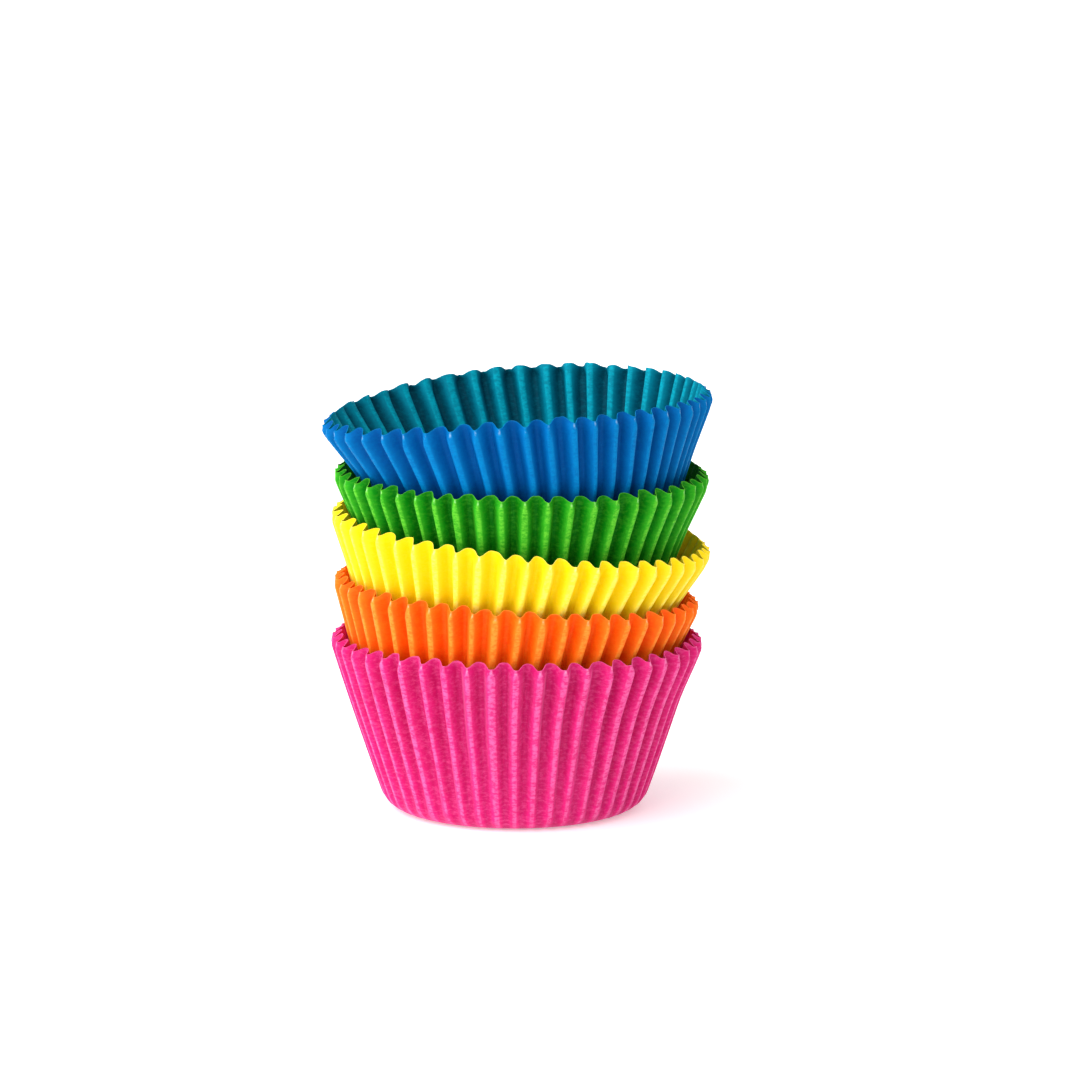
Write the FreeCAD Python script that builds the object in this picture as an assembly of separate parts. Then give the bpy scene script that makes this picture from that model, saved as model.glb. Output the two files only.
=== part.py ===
import FreeCAD, Part
import math
import os

# A leaning stack of five pleated paper cupcake liners, each one folded sheet.
# Millimetres, +Z up, the lowest liner stands on z = 0 with its axis on the origin.

# Sizes shared by every liner
floor_radius = 23.0      # flat round floor
corner_radius = 25.0     # where the rounded turn ends and the wall starts
corner_height = 2.0      # height of that turn
wall_length = 34.0       # wall from the turn to the rim, along the paper
lower_wall = 6.4         # part of the wall in which the folds open quickly
pleats = 48              # folds round one liner
crest_land = 1.1         # width at the rim of the flat top of an outward fold
trough_land = 0.7        # width at the rim of the flat bottom of an inward fold
paper = 0.1              # thickness of the sheet
seat_gap = 0.2           # air left between a liner and the one that carries it
touching = 1e-6          # corners nearer than this are one corner

# The liners from the table up: lean of the wall, lean of the whole liner to the side
# (plus lifts the +X side) and to the back (plus lifts the +Y side), degrees, and the
# middle of its floor in plan
liners = [
    {"name": "pink_liner", "flare": 18.1, "side": 0.0, "back": 0.0, "x": 0.0, "y": 0.0},
    {"name": "orange_liner", "flare": 17.2, "side": -4.3, "back": -0.4, "x": -2.6, "y": -0.1},
    {"name": "yellow_liner", "flare": 19.2, "side": -6.4, "back": 0.2, "x": -2.7, "y": 0.3},
    {"name": "green_liner", "flare": 18.1, "side": -1.0, "back": 0.5, "x": 0.8, "y": 0.4},
    {"name": "blue_liner", "flare": 19.8, "side": 4.3, "back": 2.0, "x": 3.8, "y": 0.5},
]

# Steps of the search that lowers a liner until it is carried
probe_step = 4.0         # spacing of the points tried down a fold
settle_turns = 26        # halvings of the height


def fold_depth(sheet_radius, mean_radius, land):
    """How far a fold stands in and out when a ring of flat paper is drawn in."""
    panel = math.pi * sheet_radius / pleats - land
    half_pitch = math.pi * mean_radius / pleats - land
    return math.sqrt(panel ** 2 - half_pitch ** 2)


def fold_levels(flare):
    """Levels from floor to rim: radius, height and land width of both folds."""
    corner_run = math.hypot(corner_radius - floor_radius, corner_height)
    whole = corner_run + wall_length
    edge = {"out_r": floor_radius, "out_z": 0.0, "in_r": floor_radius, "in_z": 0.0}
    levels = [dict(edge, out_land=0.0, in_land=0.0)]
    last_run = 0.0
    for run in (corner_run, corner_run + lower_wall, whole):
        out_land = crest_land * run / whole
        in_land = trough_land * run / whole
        mean = corner_radius + (run - corner_run) * math.sin(math.radians(flare))
        depth = fold_depth(floor_radius + run, mean, (out_land + in_land) / 2)
        level = {"out_r": mean + depth / 2, "in_r": mean - depth / 2}
        level.update(out_land=out_land, in_land=in_land)
        below = levels[-1]
        for side in ("out", "in"):
            # every fold line is as long as the strip of paper it is made of
            reach = level[side + "_r"] - below[side + "_r"]
            climb = math.sqrt((run - last_run) ** 2 - reach ** 2)
            level[side + "_z"] = below[side + "_z"] + climb
        levels.append(level)
        last_run = run
    return levels


def pleat_corners(level):
    """The four corners of one pleat at a level, as plan points with heights."""
    turn = math.pi / pleats
    cos_t = math.cos(turn)
    sin_t = math.sin(turn)
    corners = []
    for across in (-level["out_land"] / 2, level["out_land"] / 2):
        corners.append((level["out_r"], across, level["out_z"]))
    for across in (-level["in_land"] / 2, level["in_land"] / 2):
        x = level["in_r"] * cos_t - across * sin_t
        y = level["in_r"] * sin_t + across * cos_t
        corners.append((x, y, level["in_z"]))
    return corners


def spin(point, angle):
    """A point turned about the liner's axis."""
    cos_a = math.cos(angle)
    sin_a = math.sin(angle)
    return (point[0] * cos_a - point[1] * sin_a, point[0] * sin_a + point[1] * cos_a, point[2])


def mitred(before, point, after):
    """A corner of the outer skin moved inward by the paper's thickness."""
    normals = []
    for start, end in ((before, point), (point, after)):
        dx = end[0] - start[0]
        dy = end[1] - start[1]
        size = math.hypot(dx, dy)
        normals.append((-dy / size, dx / size))
    (ax, ay), (bx, by) = normals
    scale = paper / (1 + ax * bx + ay * by)
    return (point[0] + (ax + bx) * scale, point[1] + (ay + by) * scale, point[2])


def outer_skin(levels):
    return [pleat_corners(level) for level in levels]


def inner_skin(levels):
    """The same corners on the inside of the sheet."""
    pitch = 2 * math.pi / pleats
    inside = dict(levels[0])
    inside["out_r"] -= paper / 2
    inside["in_r"] -= paper / 2
    inside["out_z"] = inside["in_z"] = paper
    rows = [pleat_corners(inside)]
    for number, level in enumerate(levels[1:]):
        corners = pleat_corners(level)
        around = [spin(corners[-1], -pitch)] + corners + [spin(corners[0], pitch)]
        row = [mitred(around[i], around[i + 1], around[i + 2]) for i in range(4)]
        if number == 0:
            # the top of the turn leans halfway between floor and wall
            row = [(x, y, z + paper / 2) for x, y, z in row]
        rows.append(row)
    return rows


def triangle(a, b, c):
    points = [FreeCAD.Vector(*p) for p in (a, b, c)]
    return Part.Face(Part.makePolygon(points + [points[0]]))


def wall_faces(rows, outward):
    """The folded panels of one pleat, from the floor's edge up to the rim."""
    pitch = 2 * math.pi / pleats
    faces = []
    for low, high in zip(rows, rows[1:]):
        low = low + [spin(low[0], pitch)]
        high = high + [spin(high[0], pitch)]
        for i in range(4):
            panel = [(low[i], low[i + 1], high[i + 1]), (low[i], high[i + 1], high[i])]
            if math.dist(low[i], low[i + 1]) < touching:
                panel = [(low[i], high[i + 1], high[i])]
            for a, b, c in panel:
                faces.append(triangle(a, b, c) if outward else triangle(a, c, b))
    return faces


def rim_faces(outer, inner):
    """The cut edge of the paper along one pleat."""
    pitch = 2 * math.pi / pleats
    outer = outer + [spin(outer[0], pitch)]
    inner = inner + [spin(inner[0], pitch)]
    faces = []
    for i in range(4):
        faces.append(triangle(outer[i], outer[i + 1], inner[i + 1]))
        faces.append(triangle(outer[i], inner[i + 1], inner[i]))
    return faces


def floor_face(row, upward):
    """The flat floor, a disc with one corner at every fold."""
    ring = []
    for number in range(pleats):
        angle = 2 * math.pi * number / pleats
        ring.append(FreeCAD.Vector(*spin(row[0], angle)))
        ring.append(FreeCAD.Vector(*spin(row[2], angle)))
    if not upward:
        ring.reverse()
    return Part.Face(Part.makePolygon(ring + [ring[0]]))


def make_liner(levels):
    """One liner upright on z = 0: a pleat patterned round, both skins, rim and floor."""
    outer = outer_skin(levels)
    inner = inner_skin(levels)
    pleat = wall_faces(outer, True) + wall_faces(inner, False) + rim_faces(outer[-1], inner[-1])
    faces = [floor_face(outer[0], False), floor_face(inner[0], True)]
    for number in range(pleats):
        for face in pleat:
            copy = face.copy()
            copy.rotate(FreeCAD.Vector(0, 0, 0), FreeCAD.Vector(0, 0, 1), 360.0 * number / pleats)
            faces.append(copy)
    solid = Part.Solid(Part.Shell(faces))
    if solid.Volume < 0:
        solid.reverse()
    return solid


def between(low, high, share):
    return low + (high - low) * share


def at_height(levels, side, z):
    """Radius and land of a fold line at a height."""
    for low, high in zip(levels, levels[1:]):
        if z <= high[side + "_z"] or high is levels[-1]:
            rise = high[side + "_z"] - low[side + "_z"]
            share = (z - low[side + "_z"]) / rise
            radius = between(low[side + "_r"], high[side + "_r"], share)
            return radius, between(low[side + "_land"], high[side + "_land"], share)


def off_segment(px, py, start, end):
    """Distance in plan from a point to a straight panel edge."""
    dx = end[0] - start[0]
    dy = end[1] - start[1]
    share = ((px - start[0]) * dx + (py - start[1]) * dy) / (dx * dx + dy * dy)
    share = min(1.0, max(0.0, share))
    return math.hypot(px - start[0] - dx * share, py - start[1] - dy * share)


def room(levels, point):
    """Air between a point and the outside of an upright liner, minus when inside."""
    if point.z < 0:
        beside = max(0.0, math.hypot(point.x, point.y) - floor_radius)
        return math.hypot(beside, point.z)
    if point.z > levels[-1]["in_z"]:
        return corner_radius
    out_r, out_land = at_height(levels, "out", point.z)
    in_r, in_land = at_height(levels, "in", point.z)
    turn = math.pi / pleats
    angle = abs((math.atan2(point.y, point.x) + turn) % (2 * turn) - turn)
    radius = math.hypot(point.x, point.y)
    px = radius * math.cos(angle)
    py = radius * math.sin(angle)
    middle = (in_r * math.cos(turn), in_r * math.sin(turn))
    half = in_land / 2
    top = (out_r, out_land / 2)
    foot = (middle[0] + half * math.sin(turn), middle[1] - half * math.cos(turn))
    edges = [((out_r, 0.0), top), (top, foot), (foot, middle)]
    gap = min(off_segment(px, py, a, b) for a, b in edges if math.dist(a, b) > touching)
    flank_x = between(foot[0], top[0], min(1.0, max(0.0, (foot[1] - py) / (foot[1] - top[1]))))
    return gap if px > flank_x else -gap


def fold_points(levels, place):
    """Points down the inward folds of a placed liner, on the inside of the paper."""
    rows = inner_skin(levels)
    points = []
    for low, high in zip(rows[1:], rows[2:]):
        steps = max(1, int(math.dist(low[2], high[2]) / probe_step))
        for step in range(1, steps + 1):
            share = step / steps
            for corner in (2, 3):
                spot = [between(a, b, share) for a, b in zip(low[corner], high[corner])]
                for number in range(pleats):
                    turned = spin(spot, 2 * math.pi * number / pleats)
                    points.append(place.multVec(FreeCAD.Vector(*turned)))
    return points


def leaning(liner, height, turn):
    """Where a liner stands: turned on its axis, leaned over, then moved."""
    rotation = FreeCAD.Rotation(FreeCAD.Vector(0, 1, 0), -liner["side"])
    rotation = rotation.multiply(FreeCAD.Rotation(FreeCAD.Vector(1, 0, 0), liner["back"]))
    rotation = rotation.multiply(FreeCAD.Rotation(FreeCAD.Vector(0, 0, 1), turn))
    return FreeCAD.Placement(FreeCAD.Vector(liner["x"], liner["y"], height), rotation)


def settle(liner, levels, carrier, floor, turn):
    """Lower the liner until its folds are a seat gap from the one that carries it."""
    low = floor
    high = floor + wall_length
    for _ in range(settle_turns):
        middle = (low + high) / 2
        back = leaning(liner, middle, turn).inverse()
        if all(room(levels, back.multVec(point)) > seat_gap for point in carrier):
            high = middle
        else:
            low = middle
    return leaning(liner, high, turn)


def main():
    os.makedirs("parts", exist_ok=True)
    for number, liner in enumerate(liners):
        levels = fold_levels(liner["flare"])
        # alternate liners are turned half a pleat, so outward folds ride on inward ones
        turn = 180.0 / pleats * (number % 2)
        place = leaning(liner, 0.0, turn)
        if number:
            place = settle(liner, levels, carrier, floor, turn)
        solid = make_liner(levels)
        solid.Placement = place
        solid.exportStep("parts/" + liner["name"] + ".step")
        print(liner["name"], round(place.Base.z, 3), round(solid.Volume, 1), solid.isValid())
        carrier = fold_points(levels, place)
        floor = place.Base.z


main()
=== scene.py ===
import math
from types import SimpleNamespace

import bpy
import numpy as np
from mathutils import Euler, Matrix, Vector


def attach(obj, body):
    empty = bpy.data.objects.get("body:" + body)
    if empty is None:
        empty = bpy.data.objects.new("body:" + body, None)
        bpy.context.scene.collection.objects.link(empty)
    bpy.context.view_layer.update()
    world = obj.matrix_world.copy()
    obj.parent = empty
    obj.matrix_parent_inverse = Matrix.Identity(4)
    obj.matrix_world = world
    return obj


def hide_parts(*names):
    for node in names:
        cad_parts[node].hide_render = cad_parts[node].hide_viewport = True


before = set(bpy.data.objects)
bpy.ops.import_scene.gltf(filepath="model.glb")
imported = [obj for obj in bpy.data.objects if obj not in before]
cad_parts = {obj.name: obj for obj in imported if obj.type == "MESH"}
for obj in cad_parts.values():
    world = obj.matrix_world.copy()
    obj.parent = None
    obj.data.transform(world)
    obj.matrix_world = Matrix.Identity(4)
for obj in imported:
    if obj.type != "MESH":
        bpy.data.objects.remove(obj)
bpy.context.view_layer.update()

MM = 0.001

# Form shared by the liners, in millimetres, the same as the solids'
CORNER_RADIUS = 25.0
CORNER_BEND = 2.9        # radius of the rounded corner, which the solids chamfer
WALL_LENGTH = 34.0
PLEATS = 48
CREST_LAND = 1.1
TROUGH_LAND = 0.7
PAPER = 0.1

# Places of the liners, the same as the solids': middle of the floor from above (mm), lean
# to the side and to the back (degrees) and lean of the wall (degrees). How high the floor
# lies comes from the solid. Then the angle of a fold at the front (degrees), how much
# wider than even the folds are spaced on the +X side and at the front, how far the foot
# of the wall swells (mm), a seed, and how the free top of the wall has slackened (mm):
# opened all round, widened sideways, moved sideways, then lifted all round, on the +X
# side, at the front, and at both front and back while the sides drop
LINERS = [
    dict(node="pink_liner", at=(0.0, 0.0), side=0.0, back=0.0, flare=18.1, front=0.0,
         crowd_side=0.0, crowd_front=0.0, belly=1.0, seed=11,
         open=0.45, oval=0.0, drift=0.4, lift=0.1, tilt=-0.45, nod=0.2, saddle=0.0),
    dict(node="orange_liner", at=(-2.6, -0.1), side=-4.3, back=-0.4, flare=17.2,
         front=1.3, crowd_side=0.0, crowd_front=-0.02, belly=0.0, seed=23,
         open=0.45, oval=0.0, drift=0.4, lift=0.3, tilt=0.0, nod=0.3, saddle=0.1),
    dict(node="yellow_liner", at=(-2.7, 0.3), side=-6.4, back=0.2, flare=19.2,
         front=2.2, crowd_side=-0.02, crowd_front=-0.07, belly=0.0, seed=37,
         open=0.75, oval=0.1, drift=0.4, lift=-0.1, tilt=0.0, nod=-0.1, saddle=0.0),
    dict(node="green_liner", at=(0.8, 0.4), side=-1.0, back=0.5, flare=18.1,
         front=1.3, crowd_side=0.02, crowd_front=-0.07, belly=0.0, seed=41,
         open=0.6, oval=0.1, drift=0.0, lift=0.0, tilt=0.0, nod=0.0, saddle=0.0),
    dict(node="blue_liner", at=(3.8, 0.5), side=4.3, back=2.0, flare=19.8,
         front=2.9, crowd_side=-0.15, crowd_front=-0.05, belly=0.0, seed=59,
         open=0.8, oval=0.5, drift=-0.9, lift=0.8, tilt=0.1, nod=0.65, saddle=0.8),
]

# Rows of points: round the corner, then millimetres up the wall or down from its edge
CORNER_ROWS = 6
FOOT_ROWS = (0.7, 1.6, 2.8, 4.2, 6.0)
MIDDLE_FROM, MIDDLE_TO, MIDDLE_ROWS = 8.0, WALL_LENGTH - 3.4, 11
EDGE_ROWS = (2.5, 1.7, 1.1, 0.6, 0.25, 0.0)
# Columns of points: shares of the way from an outward fold to the next inward one
STEPS = (0.0, 0.07, 0.15, 0.22, 0.29, 0.37, 0.48, 0.60, 0.71, 0.81, 0.90)

# Form of a fold at the cut edge and where it has settled below, as shares of that way
CREST = (0.02, 0.17)             # half the land on the outward fold
CREST_ROUND = (0.10, 0.18)       # the bend beside it
TROUGH = (0.06, 0.13)            # half the land on the inward fold
TROUGH_ROUND = (0.52, 0.22)      # the bend beside it
CREST_CROWN = 0.05               # how far the middle of the outward land stands out
SETTLED_AT = 2.3                 # millimetres below the cut edge
# Close to the edge the outward fold turns in by this share of its depth
CURL = 0.27
CURL_POWER = 1.5
CURL_FROM = 2.1                  # millimetres below the cut edge
SCALLOP = 0.16                   # how far the edge rises and falls from fold to fold (mm)
EDGE_POWER = 4                   # the higher, the nearer to the edge its forms begin
FREE_FROM = 20.0                 # up the wall, where the next liner's rim lets it go (mm)
BELLY_FULL_AT = 1.4              # corner lengths from the floor
BELLY_FADE = 0.7

# Unevenness from pleat to pleat, as standard deviations, in pleats unless it says more
WANDER, WANDER_WAVES = 0.05, 3   # spacing, slowly round the cup
OUT_JITTER = 0.03                # a single outward fold
IN_JITTER = 0.035                # a single inward fold
BULGE = 0.04                     # panels bowed out or in, as a share of the depth
SWAY = 0.03                      # folds bowed sideways
RIM_SLANT = 0.10                 # slope of the cut edge (mm)
RIPPLE, RIPPLE_WAVES, RIPPLE_SHIFT = 0.03, 3.0, 9    # depth up the wall, as a share
EDGE_RIPPLE, EDGE_WAVES = 0.05, 6                    # height of the cut edge (mm)
# The same for shares of the even form: mean, deviation, least and most
DEPTH_SHARE = (0.95, 0.05, 0.82, 1.0)
CREST_SHARE = (1.0, 0.18, 0.6, 1.4)
TROUGH_SHARE = (1.0, 0.2, 0.6, 1.4)
PINCH_SHARE = (1.0, 0.3, 0.85, 1.7)

SHARP_FROM = 62                  # degrees between faces that show an edge


# Form

def smooth_noise(rng, count, waves):
    """A closed ring of soft random values, mostly between -1 and 1."""
    angles = 2 * math.pi * np.arange(count) / count
    values = np.zeros(count)
    for k in range(1, waves + 1):
        values += rng.normal() * np.cos(k * angles) + rng.normal() * np.sin(k * angles)
    return values / math.sqrt(waves)


def vary(rng, mean, deviation, least, most):
    """One random value for each pleat."""
    return np.clip(mean + deviation * rng.normal(size=PLEATS), least, most)


def ease(value):
    """A soft step from 0 to 1."""
    value = np.clip(value, 0.0, 1.0)
    return value * value * (3 - 2 * value)


def between(ends, share):
    return ends[0] + (ends[1] - ends[0]) * share


def fold_wave(x, crest, crest_round, trough, trough_round):
    """1 on the outward fold (x = 0) to -1 on the inward one (x = 1): land, flank, land."""
    slope = 2.0 / (1.0 - crest - trough - (crest_round + trough_round) / 2.0)
    from_crest = np.maximum(x - crest, 0.0)
    to_trough = np.maximum(1.0 - trough - x, 0.0)
    near = 1.0 - slope * from_crest ** 2 / (2.0 * crest_round)
    far = -1.0 + slope * to_trough ** 2 / (2.0 * trough_round)
    straight = 1.0 - slope * (x - crest - crest_round / 2.0)
    wave = np.where(x > 1.0 - trough - trough_round, far, straight)
    wave = np.where(x < crest + crest_round, near, wave)
    return np.where(x > 1.0 - trough, -1.0, wave)


def uneven_folds(rng, spec):
    """Angles of the folds, and how each pleat differs from an even one."""
    pitch = 2 * math.pi / PLEATS
    number = np.arange(PLEATS)
    from_front = 2 * math.pi * number / PLEATS
    # folds crowd together on one side and spread on another
    wander = WANDER * smooth_noise(rng, PLEATS, WANDER_WAVES)
    crowding = (spec["crowd_side"] * (1 - np.cos(from_front))
                + spec["crowd_front"] * np.sin(from_front))
    wander += crowding / pitch - wander[0]
    jitter = rng.normal(0, OUT_JITTER, PLEATS)
    jitter[0] = 0
    out_angle = math.radians(spec["front"] - 90) + (number + wander + jitter) * pitch
    next_out = np.roll(out_angle, -1)
    next_out[-1] += 2 * math.pi
    in_angle = (out_angle + next_out) / 2 + rng.normal(0, IN_JITTER, PLEATS) * pitch
    return SimpleNamespace(
        out_angle=out_angle,
        in_angle=in_angle,
        depth=vary(rng, *DEPTH_SHARE),
        crest=vary(rng, *CREST_SHARE),
        trough=vary(rng, *TROUGH_SHARE),
        bulge=rng.normal(0, BULGE, (PLEATS, 2)),
        sway=rng.normal(0, SWAY, (PLEATS, 2)) * pitch,
        pinch=vary(rng, *PINCH_SHARE),
        slant=rng.normal(0, RIM_SLANT, (PLEATS, 2)))


def fold_columns(out_angle, in_angle):
    """For each column of the grid: its pleat, how far it is from the outward fold to the
    inward one, its angle, the number of that outward fold, and which half of the pleat."""
    columns = []
    for j in range(PLEATS):
        after = (j + 1) % PLEATS
        turn_on = out_angle[after] + (2 * math.pi if after == 0 else 0)
        for x in STEPS:
            columns.append((j, x, out_angle[j] + (in_angle[j] - out_angle[j]) * x, j, 0))
        for x in (1.0,) + STEPS[:0:-1]:
            columns.append((j, x, turn_on + (in_angle[j] - turn_on) * x, after, 1))
    return [np.array(values) for values in zip(*columns)]


def sheet_grid(spec):
    """Points of the outer skin in rows from the floor's edge to the rim, where each is
    between the folds, and the length of paper up to each row."""
    rng = np.random.default_rng(spec["seed"])
    folds = uneven_folds(rng, spec)
    pleat, x, angle, fold, half = fold_columns(folds.out_angle, folds.in_angle)
    edge_ripple = EDGE_RIPPLE * smooth_noise(rng, len(x), EDGE_WAVES)

    bend = math.radians(90 - spec["flare"])
    lean_out = math.sin(math.radians(spec["flare"]))
    corner_run = CORNER_BEND * bend
    floor_radius = CORNER_RADIUS - CORNER_BEND * math.sin(bend)
    whole = corner_run + WALL_LENGTH
    runs = np.concatenate([
        np.linspace(0, corner_run, CORNER_ROWS),
        corner_run + np.concatenate([FOOT_ROWS,
                                     np.linspace(MIDDLE_FROM, MIDDLE_TO, MIDDLE_ROWS),
                                     WALL_LENGTH - np.array(EDGE_ROWS)])])

    points = np.zeros((len(runs), len(x), 3))
    waves = np.zeros((len(runs), len(x)))
    for i, run in enumerate(runs):
        up = max(0.0, run - corner_run)
        below = whole - run
        share = run / whole

        # at the cut edge the outward fold closes to a crease and the inward one rounds out
        settled = ease(below / (SETTLED_AT * folds.pinch[fold]))
        crest = between(CREST, settled) * folds.crest[fold]
        trough = between(TROUGH, settled * folds.trough[pleat])
        wave = fold_wave(x, crest, between(CREST_ROUND, settled),
                         trough, between(TROUGH_ROUND, settled))
        bowed = folds.bulge[pleat, half] * np.sin(math.pi * x) * share
        wave = np.clip(wave + bowed, -1, 1)
        off_middle = np.where(x < crest, (x / np.maximum(crest, 0.01)) ** 2, 1.0)
        wave = wave - CREST_CROWN * off_middle * settled
        curl = CURL * (1 - ease(below / (CURL_FROM * folds.pinch[fold]))) ** CURL_POWER
        bent = (wave + 1) * (1 - curl) - 1

        # the paper between two folds keeps its length, so narrower means deeper
        if run <= corner_run:
            mean = floor_radius + CORNER_BEND * math.sin(run / CORNER_BEND)
        else:
            mean = CORNER_RADIUS + up * lean_out
        land = (CREST_LAND + TROUGH_LAND) / 2 * share
        panel = math.pi * (floor_radius + run) / PLEATS - land
        gap = math.pi * mean / PLEATS - land
        depth = math.sqrt(max(0.0, panel ** 2 - gap ** 2))
        local = depth * (folds.depth[fold] * (1 - x) + folds.depth[pleat] * x)
        ripple = np.sin(RIPPLE_WAVES * share * math.pi + RIPPLE_SHIFT * folds.depth[pleat])
        local = local * (1 + RIPPLE * x * ripple)

        theta = angle + folds.sway[pleat, half] * math.sin(math.pi * share) * x
        free = ease((up - FREE_FROM) / (WALL_LENGTH - FREE_FROM))
        opened = free * (spec["open"] + spec["oval"] * np.cos(2 * theta))
        belly = spec["belly"] * ease(run / (BELLY_FULL_AT * corner_run))
        belly = belly * (1 - share) ** BELLY_FADE
        radius = mean + np.minimum(local, depth) / 2 * bent + opened + belly

        # and so does the paper up the wall, so a row rises by what it doesn't move out
        if run <= corner_run:
            height = np.full(len(x), CORNER_BEND * (1 - math.cos(run / CORNER_BEND)))
            reach = np.full(len(x), run)
        else:
            slant = (folds.slant[pleat, 0] * x
                     + folds.slant[pleat, half] * np.sin(math.pi * x))
            reach = run + (SCALLOP * -wave + slant) * share ** EDGE_POWER
            climb = (reach - reach_before) ** 2 - (radius - radius_before) ** 2
            height = height_before + np.sqrt(np.maximum(climb, 0))
        slack = (spec["lift"] + spec["tilt"] * np.cos(theta) - spec["nod"] * np.sin(theta)
                 - spec["saddle"] * np.cos(2 * theta))
        points[i, :, 0] = radius * np.cos(theta) + free * spec["drift"]
        points[i, :, 1] = radius * np.sin(theta)
        points[i, :, 2] = height + free * slack
        waves[i] = wave
        radius_before, height_before, reach_before = radius, height, reach
    points[-1, :, 2] += edge_ripple
    return points, waves, runs


def skin_normals(points):
    """Unit normals of a closed grid, pointing out of the cup."""
    around = np.roll(points, -1, axis=1) - np.roll(points, 1, axis=1)
    up = np.gradient(points, axis=0)
    normals = np.cross(around, up)
    return normals / np.maximum(np.linalg.norm(normals, axis=2, keepdims=True), 1e-9)


def place_matrix(spec):
    """Where a liner stands, with its floor in the plane of its solid's."""
    side = Matrix.Rotation(math.radians(-spec["side"]), 4, "Y")
    back = Matrix.Rotation(math.radians(spec["back"]), 4, "X")
    turn = side @ back
    up = turn.col[2].to_3d()
    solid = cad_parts[spec["node"]]
    floor_plane = min(up.dot(vertex.co) for vertex in solid.data.vertices)
    x, y = (value * MM for value in spec["at"])
    z = (floor_plane - up.x * x - up.y * y) / up.z
    return Matrix.Translation((x, y, z)) @ turn


def make_liner(spec, materials):
    """One liner as a closed thin sheet: outer skin, inner skin, cut edge and floor."""
    outer, waves, runs = sheet_grid(spec)
    inner = outer - skin_normals(outer) * PAPER
    inner[0] = outer[0] + np.array([0, 0, PAPER])
    inner[-1, :, 2] = outer[-1, :, 2]
    rows, cols = outer.shape[:2]
    count = rows * cols
    verts = np.concatenate([outer.reshape(-1, 3), inner.reshape(-1, 3)]) * MM

    i, j = np.meshgrid(np.arange(rows - 1), np.arange(cols), indexing="ij")
    k = (j + 1) % cols
    quads = np.stack([i * cols + j, i * cols + k, (i + 1) * cols + k, (i + 1) * cols + j], -1)
    quads = quads.reshape(-1, 4)
    inside = quads[:, ::-1] + count
    j = np.arange(cols)
    k = (j + 1) % cols
    top = (rows - 1) * cols
    edge = np.stack([top + j, top + k, top + k + count, top + j + count], -1)
    floor_out = list(range(cols))[::-1]
    floor_in = [count + n for n in range(cols)]
    faces = quads.tolist() + inside.tolist() + edge.tolist() + [floor_out, floor_in]

    mesh = bpy.data.meshes.new(spec["node"] + "_paper")
    mesh.from_pydata(verts.tolist(), [], faces)
    for material in materials:
        mesh.materials.append(material)
    # materials in order: outside, inside and edge, then the floor's outside and inside
    kinds = [0] * len(quads) + [1] * len(inside) + [2] * len(edge) + [0, 1]
    mesh.polygons.foreach_set("material_index", kinds)
    mesh.polygons.foreach_set("use_smooth", [True] * len(faces))

    # what the paper's material needs to know of each point
    below_rim = np.repeat(runs[-1] - runs, cols)
    for name, values in (("fold", waves.reshape(-1)), ("below_rim", below_rim)):
        layer = mesh.attributes.new(name, "FLOAT", "POINT")
        layer.data.foreach_set("value", np.concatenate([values, values]).astype(np.float32))
    mesh.update()
    mesh.set_sharp_from_angle(angle=math.radians(SHARP_FROM))
    mesh.validate()

    piece = bpy.data.objects.new(spec["node"].replace("_liner", "_cup"), mesh)
    mesh.transform(place_matrix(spec))
    bpy.context.scene.collection.objects.link(piece)
    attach(piece, "root")
    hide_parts(spec["node"])


# Paper

# Scale of each noise, per metre, and how it is stretched
MOTTLE_SCALE = 1100.0
BLOTCH_SCALE = 160.0
FLECK_SCALE, FLECK_STRETCH = 1500.0, (0.6, 0.6, 1.3)
GRAIN_SCALE, GRAIN_STRETCH = 700.0, (0.3, 0.3, 3.0)

WORN_AND_HIGHLIT = 0.62              # how far an outward fold pales, partly wear and partly a painted highlight
SPECK_PALE = 0.55        # how pale a fibre speck is
TICK_AT = 0.6            # whitened crease, below the cut edge (mm)
TICK_CORE, TICK_FADE = 0.1, 0.6
TICK_WHITE = 0.3
EDGE_HIGHLIGHT_DEPTH = 0.25        # painted highlight along the cut edge, how far down it reaches (mm)
EDGE_HIGHLIGHT = 0.30
PAPER_IOR = 1.45
SHEEN_ROUGHNESS = 0.4
ROUGHNESS = (0.49, 0.65)
GRAIN_HEIGHT = 0.00007
GRAIN_STRENGTH = 0.45
WHITE = (1.0, 1.0, 1.0, 1.0)


def srgb(r, g, b):
    """An sRGB colour 0-255 as linear values."""
    out = []
    for c in (r, g, b):
        c = c / 255
        out.append(c / 12.92 if c <= 0.04045 else ((c + 0.055) / 1.055) ** 2.4)
    return (*out, 1.0)


def blend(a, b, share):
    return tuple(x + (y - x) * share for x, y in zip(a, b))


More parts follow.
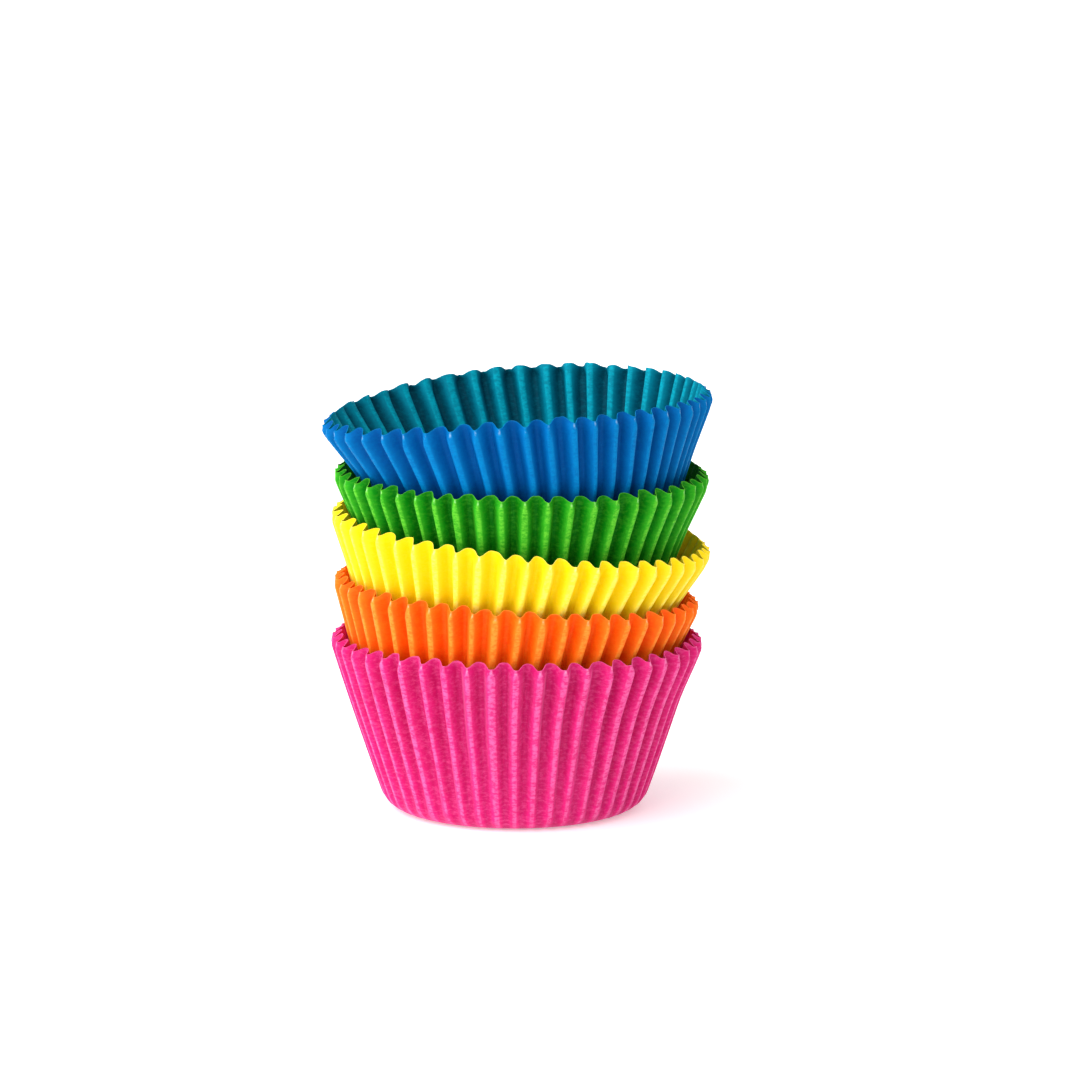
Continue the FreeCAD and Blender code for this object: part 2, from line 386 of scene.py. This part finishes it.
class Graph:
    """Short words for building a node material."""

    def __init__(self, name):
        self.material = bpy.data.materials.new(name)
        self.material.use_nodes = True
        self.tree = self.material.node_tree
        self.tree.nodes.clear()

    def node(self, kind, inputs=None, **settings):
        made = self.tree.nodes.new(kind)
        for key, value in settings.items():
            setattr(made, key, value)
        for key, value in (inputs or {}).items():
            if isinstance(value, bpy.types.NodeSocket):
                self.tree.links.new(value, made.inputs[key])
            else:
                made.inputs[key].default_value = value
        return made

    def attribute(self, name):
        return self.node("ShaderNodeAttribute", attribute_name=name).outputs["Fac"]

    def math(self, operation, a, b=None, clamp=False):
        inputs = {0: a} if b is None else {0: a, 1: b}
        return self.node("ShaderNodeMath", inputs, operation=operation,
                         use_clamp=clamp).outputs[0]

    def spread(self, value, low, high, to_low=0.0, to_high=1.0):
        """The value's range from low to high as 0 to 1, or as the range given."""
        inputs = {"Value": value, "From Min": low, "From Max": high,
                  "To Min": to_low, "To Max": to_high}
        return self.node("ShaderNodeMapRange", inputs, clamp=True).outputs["Result"]

    def mix(self, factor, a, b):
        return self.node("ShaderNodeMix", {0: factor, 6: a, 7: b}, data_type="RGBA",
                         blend_type="MIX").outputs[2]

    def noise(self, scale, detail, rough, stretch=None):
        coords = self.node("ShaderNodeTexCoord").outputs["Object"]
        if stretch:
            inputs = {"Vector": coords, "Scale": stretch}
            coords = self.node("ShaderNodeMapping", inputs).outputs["Vector"]
        inputs = {"Vector": coords, "Scale": scale, "Detail": detail, "Roughness": rough}
        return self.node("ShaderNodeTexNoise", inputs).outputs["Fac"]

    def surface(self, shader):
        self.node("ShaderNodeOutputMaterial", {"Surface": shader.outputs[0]})
        return self.material


def paper_material(name, colours, facing, fibre, sheen, glow, valley_shade, ridge_highlight, gloss):
    """Thin dyed paper: mottled dye, painted shade in the inward folds, painted highlight and
    flecked wear on the outward ones, fibre specks, light through it.

    facing is 1 where outward folds are the ridges and -1 on the inside of a cup. fibre is how
    much the specks show, glow the share of light that comes through, the valley shade is
    painted shade that darkens the inward folds, and the ridge highlight is a painted highlight
    that pales the outward ones.
    """
    # the first colour is the painted shade for the inward folds
    shade_colour, deep, middle, pale = colours
    g = Graph(name)
    fold = g.math("MULTIPLY", g.attribute("fold"), facing)
    below = g.attribute("below_rim")
    mottle = g.noise(MOTTLE_SCALE, 5.0, 0.65)
    blotch = g.noise(BLOTCH_SCALE, 3.0, 0.5)
    flecks = g.noise(FLECK_SCALE, 5.0, 0.7, FLECK_STRETCH)
    grain = g.noise(GRAIN_SCALE, 3.0, 0.55, GRAIN_STRETCH)

    # the dye's mottled tone, then painted shade darkening the inward folds and a painted
    # highlight paling the outward ones
    tone = g.math("ADD", g.math("MULTIPLY", mottle, 0.5), g.math("MULTIPLY", blotch, 0.5))
    colour = g.mix(g.spread(tone, 0.38, 0.62), deep, middle)
    # painted shade: the inward folds darken toward the shade colour
    colour = g.mix(g.spread(fold, 0.6, -0.9, 0.0, valley_shade), colour, shade_colour)
    # painted highlight: the outward folds pale toward the ridge
    colour = g.mix(g.spread(fold, 0.0, 1.0, 0.0, ridge_highlight), colour, pale)
    # ridges pale in flecks, partly paper wear and partly a painted highlight
    worn_and_highlit = g.math("MULTIPLY", g.spread(fold, 0.84, 0.98),
                  g.spread(flecks, 0.42, 0.58, 0.10, 1.0), clamp=True)
    colour = g.mix(g.math("MULTIPLY", worn_and_highlit, WORN_AND_HIGHLIT), colour, pale)
    # fibre specks all over
    specks = g.math("MULTIPLY", g.spread(flecks, 0.46, 0.68), fibre)
    colour = g.mix(specks, colour, blend(middle, pale, SPECK_PALE))
    # paper whitened where the outward fold is creased just under the cut edge
    if facing > 0:
        off = g.math("ABSOLUTE", g.math("SUBTRACT", below, TICK_AT))
        tick = g.math("MULTIPLY", g.spread(off, TICK_CORE, TICK_FADE, 1.0, 0.0),
                      g.spread(fold, 0.95, 1.0))
        tick = g.math("MULTIPLY", tick, g.spread(mottle, 0.42, 0.56, 0.0, 0.6))
        colour = g.mix(tick, colour, blend(pale, WHITE, TICK_WHITE))
    # painted highlight along the cut edge
    edge = g.spread(below, 0.0, EDGE_HIGHLIGHT_DEPTH, 1.0, 0.0)
    colour = g.mix(g.math("MULTIPLY", edge, EDGE_HIGHLIGHT), colour, pale)

    height = g.math("ADD", g.math("MULTIPLY", grain, 0.6), g.math("MULTIPLY", flecks, 0.4))
    bump = g.node("ShaderNodeBump", {"Strength": GRAIN_STRENGTH, "Distance": GRAIN_HEIGHT,
                                     "Height": height}).outputs["Normal"]
    reflected = g.node("ShaderNodeBsdfPrincipled", {
        "Base Color": colour, "Normal": bump, "IOR": PAPER_IOR,
        "Roughness": g.spread(mottle, 0.3, 0.7, *ROUGHNESS), "Specular IOR Level": gloss,
        "Sheen Weight": sheen, "Sheen Roughness": SHEEN_ROUGHNESS, "Sheen Tint": pale})
    through = g.node("ShaderNodeBsdfTranslucent", {"Color": colour, "Normal": bump})
    return g.surface(g.node("ShaderNodeMixShader", {
        0: glow, 1: reflected.outputs[0], 2: through.outputs[0]}))


# For each liner the colours of its outside and inside: the painted shade of the inward folds,
# then the dye as deep, middle and pale
# Apart from blue's teal print, each inside is its outside made a little darker, as painted
# shade inside the cup
PAPERS = {
    "pink_liner": dict(
        outside=(srgb(172, 4, 84), srgb(212, 4, 104), srgb(228, 14, 122), srgb(250, 126, 190)),
        inside=(srgb(170, 6, 80), srgb(205, 10, 105), srgb(225, 30, 125), srgb(248, 90, 165)),
        touch=dict(fibre=0.42, sheen=0.9, glow=0.16, valley_shade=0.60, ridge_highlight=0.04, gloss=0.20)),
    "orange_liner": dict(
        outside=(srgb(236, 62, 0), srgb(255, 92, 0), srgb(255, 112, 0), srgb(255, 166, 64)),
        inside=(srgb(225, 50, 0), srgb(250, 80, 0), srgb(255, 100, 5), srgb(255, 150, 60)),
        touch=dict(fibre=0.18, sheen=0.5, glow=0.14, valley_shade=0.40, ridge_highlight=0.15, gloss=0.15)),
    "yellow_liner": dict(
        outside=(srgb(246, 210, 0), srgb(251, 218, 0), srgb(253, 222, 0), srgb(255, 240, 120)),
        inside=(srgb(225, 180, 0), srgb(240, 200, 0), srgb(245, 212, 5), srgb(255, 235, 90)),
        touch=dict(fibre=0.16, sheen=0.2, glow=0.10, valley_shade=0.35, ridge_highlight=0.15, gloss=0.12)),
    "green_liner": dict(
        outside=(srgb(0, 92, 4), srgb(4, 136, 10), srgb(14, 158, 22), srgb(118, 214, 58)),
        inside=(srgb(0, 70, 4), srgb(8, 110, 14), srgb(20, 130, 28), srgb(80, 180, 60)),
        touch=dict(fibre=0.28, sheen=0.3, glow=0.12, valley_shade=0.75, ridge_highlight=0.16, gloss=0.08)),
    "blue_liner": dict(
        outside=(srgb(0, 70, 140), srgb(0, 90, 160), srgb(0, 104, 175), srgb(0, 132, 194)),
        inside=(srgb(0, 44, 60), srgb(0, 98, 124), srgb(0, 124, 150), srgb(0, 178, 200)),
        touch=dict(fibre=0.18, sheen=0.0, glow=0.10, valley_shade=0.70, ridge_highlight=0.22, gloss=0.05)),
}

for spec in LINERS:
    word = spec["node"].replace("_liner", "")
    paper = PAPERS[spec["node"]]
    shade_colour, deep, middle, pale = paper["outside"]
    make_liner(spec, [
        paper_material(word + "_outside", paper["outside"], 1, **paper["touch"]),
        paper_material(word + "_inside", paper["inside"], -1, **paper["touch"]),
        # the cut edge's faces take the outside's colours one step paler, as a painted
        # highlight
        paper_material(word + "_edge", (deep, middle, pale, pale), 1, **paper["touch"]),
    ])


# Stage

FLOOR_REACH = 12.0
FLOOR_LEVEL = -0.0002
FLOOR_GLOW = 0.36        # evens out the shadow, as on a lit white sweep
SKY = 0.74
SUN_TOWARDS = (1.4, 0.85, -1.0)
SUN_SPREAD = 90          # degrees, so its shadows are very soft
SUN_STRENGTH = 3.85


def floor_material():
    g = Graph("pale_floor")
    tone = g.noise(6.0, 3.0, 0.5)
    colour = g.mix(tone, (0.93, 0.93, 0.93, 1), (0.96, 0.96, 0.96, 1))
    return g.surface(g.node("ShaderNodeBsdfPrincipled", {
        "Base Color": colour, "Roughness": 0.9, "Specular IOR Level": 0.1,
        "Emission Color": colour, "Emission Strength": FLOOR_GLOW}))


corners = [(-FLOOR_REACH, -FLOOR_REACH), (FLOOR_REACH, -FLOOR_REACH),
           (FLOOR_REACH, FLOOR_REACH), (-FLOOR_REACH, FLOOR_REACH)]
floor_mesh = bpy.data.meshes.new("floor")
floor_mesh.from_pydata([(x, y, FLOOR_LEVEL) for x, y in corners], [], [(0, 1, 2, 3)])
floor_mesh.materials.append(floor_material())
floor = bpy.data.objects.new("floor", floor_mesh)
bpy.context.scene.collection.objects.link(floor)

sun_data = bpy.data.lights.new("key", "SUN")
sun_data.angle = math.radians(SUN_SPREAD)
sun_data.energy = SUN_STRENGTH
sun = bpy.data.objects.new("key", sun_data)
sun.rotation_mode = "QUATERNION"
sun.rotation_quaternion = Vector(SUN_TOWARDS).to_track_quat("-Z", "Y")
bpy.context.scene.collection.objects.link(sun)

world = bpy.data.worlds.new("studio")
world.use_nodes = True
background = world.node_tree.nodes["Background"]
background.inputs["Color"].default_value = WHITE
background.inputs["Strength"].default_value = SKY
bpy.context.scene.world = world
bpy.context.scene.view_settings.view_transform = "Standard"
bpy.context.scene.view_settings.look = "None"


# Camera

CAMERA_BACK = 0.900
CAMERA_UP = 0.208
CAMERA_ASIDE = 0.005
CAMERA_DOWN = 9.762
FOCAL = 154.0
SENSOR = 36.0

camera_data = bpy.data.cameras.new("camera")
camera_data.lens = FOCAL
camera_data.sensor_width = SENSOR
camera = bpy.data.objects.new("camera", camera_data)
camera.location = (CAMERA_ASIDE, -CAMERA_BACK, CAMERA_UP)
camera.rotation_euler = Euler((math.radians(90 - CAMERA_DOWN), 0, 0))
bpy.context.scene.collection.objects.link(camera)
bpy.context.scene.camera = camera
bpy.context.view_layer.update()
